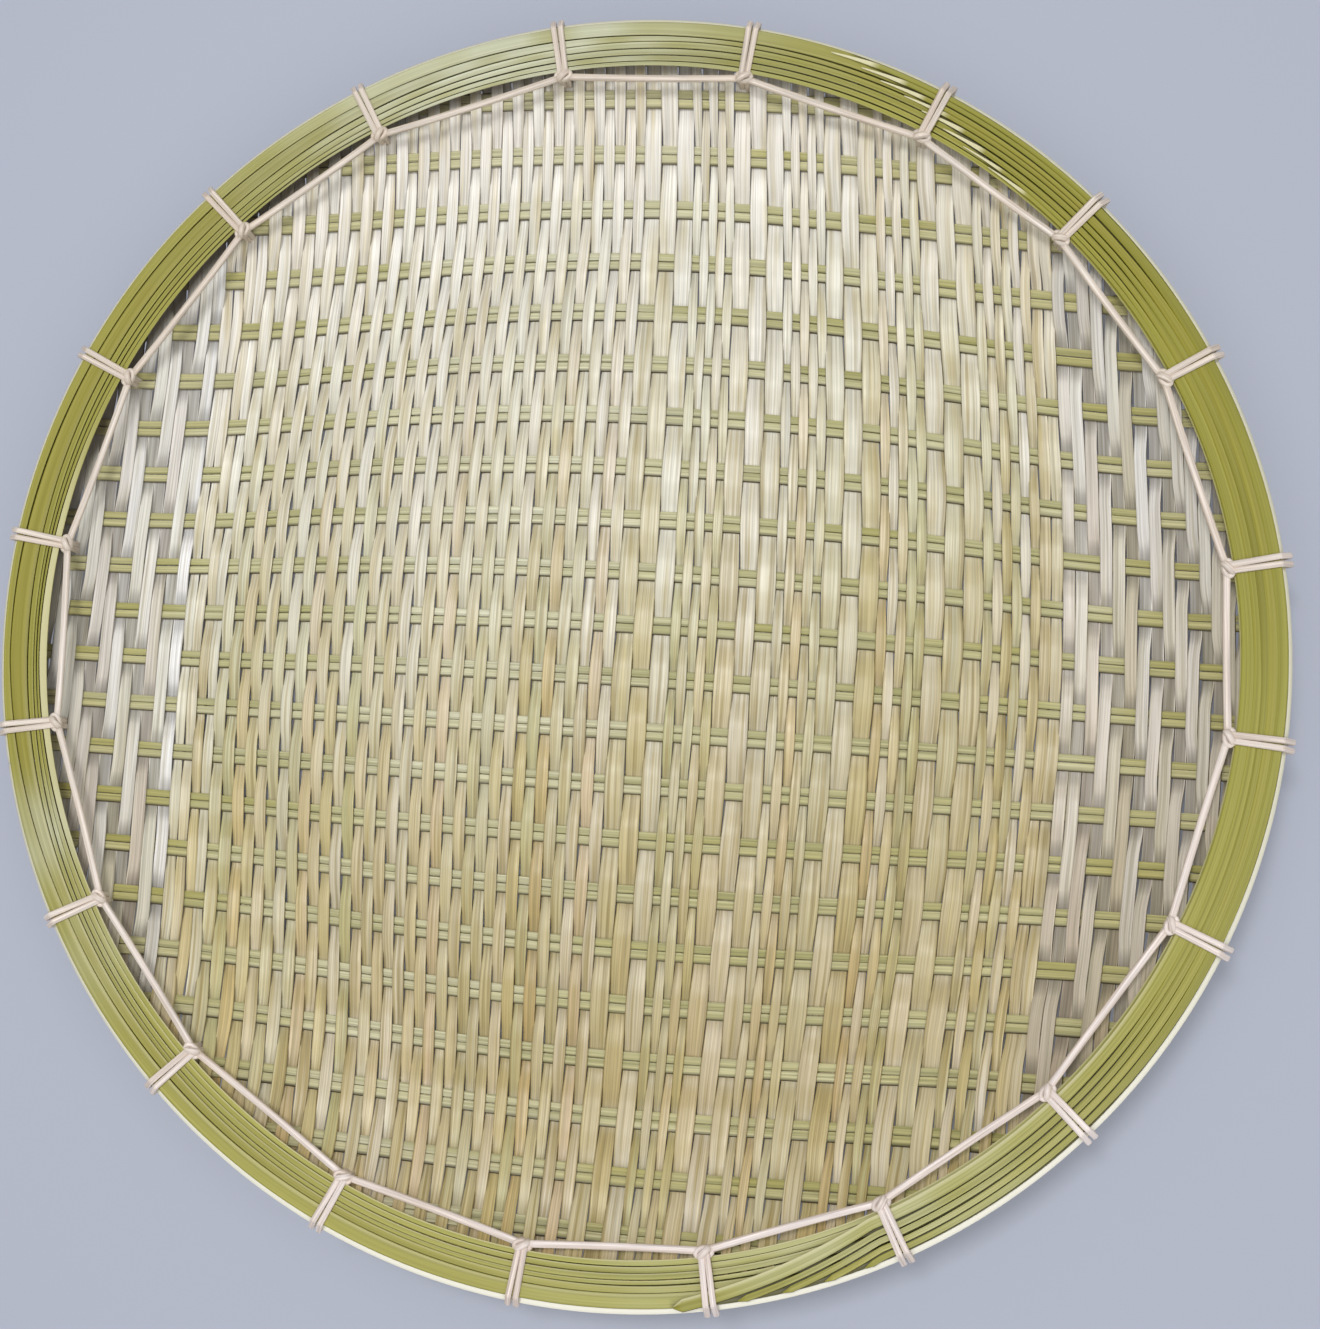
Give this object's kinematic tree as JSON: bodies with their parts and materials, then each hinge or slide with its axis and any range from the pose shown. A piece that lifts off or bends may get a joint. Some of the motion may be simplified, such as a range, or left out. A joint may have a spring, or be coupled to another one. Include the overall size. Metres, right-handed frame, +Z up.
{
  "type": "zaru bamboo basket",
  "caption": "Large shallow round zaru: a woven split-bamboo mat with its edge turned up between hoops, covered by thin strips and lashed with rattan.",
  "frame": {"origin": "on the basket's axis, at the plane that its woven floor rests on", "axes": "+Z up out of the open side, +X along the flat ribs, +Y along the wefts"},
  "size_m": [0.608, 0.6062, 0.0637],
  "materials": {
    "rib_bamboo": "satin, green bamboo skin",
    "weft_bamboo": "satin, pale split bamboo",
    "hoop_bamboo": "matt, pale cut bamboo",
    "rim_bamboo": "satin, green bamboo skin",
    "rattan": "satin, peeled rattan"
  },
  "bodies": {
    "root": {"rib_01": "rib_bamboo", "rib_02": "rib_bamboo", "rib_03": "rib_bamboo", "rib_04": "rib_bamboo", "rib_05": "rib_bamboo", "rib_06": "rib_bamboo", "rib_07": "rib_bamboo", "rib_08": "rib_bamboo", "rib_09": "rib_bamboo", "rib_10": "rib_bamboo", "rib_11": "rib_bamboo", "rib_12": "rib_bamboo", "rib_13": "rib_bamboo", "rib_14": "rib_bamboo", "rib_15": "rib_bamboo", "rib_16": "rib_bamboo", "rib_17": "rib_bamboo", "rib_18": "rib_bamboo", "rib_19": "rib_bamboo", "rib_20": "rib_bamboo", "rib_21": "rib_bamboo", "rib_22": "rib_bamboo", "weft_band_01": "weft_bamboo", "weft_band_02": "weft_bamboo", "weft_band_03": "weft_bamboo", "weft_band_04": "weft_bamboo", "weft_band_05": "weft_bamboo", "weft_band_06": "weft_bamboo", "weft_band_07": "weft_bamboo", "weft_band_08": "weft_bamboo", "weft_band_09": "weft_bamboo", "weft_band_10": "weft_bamboo", "weft_band_11": "weft_bamboo", "weft_band_12": "weft_bamboo", "weft_band_13": "weft_bamboo", "weft_band_14": "weft_bamboo", "weft_band_15": "weft_bamboo", "weft_band_16": "weft_bamboo", "weft_band_17": "weft_bamboo", "weft_band_18": "weft_bamboo", "weft_band_19": "weft_bamboo", "weft_band_20": "weft_bamboo", "weft_band_21": "weft_bamboo", "outer_hoop": "hoop_bamboo", "inner_hoop": "rim_bamboo", "deck_strip_1": "rim_bamboo", "deck_strip_2": "rim_bamboo", "deck_strip_3": "rim_bamboo", "deck_strip_4": "rim_bamboo", "deck_strip_5": "rim_bamboo", "deck_strip_6": "rim_bamboo", "cover_strip_1": "rim_bamboo", "cover_strip_2": "rim_bamboo", "cover_strip_3": "rim_bamboo", "cover_strip_4": "rim_bamboo", "cover_strip_5": "rim_bamboo", "rattan_lashing": "rattan"}
  },
  "joints": []
}
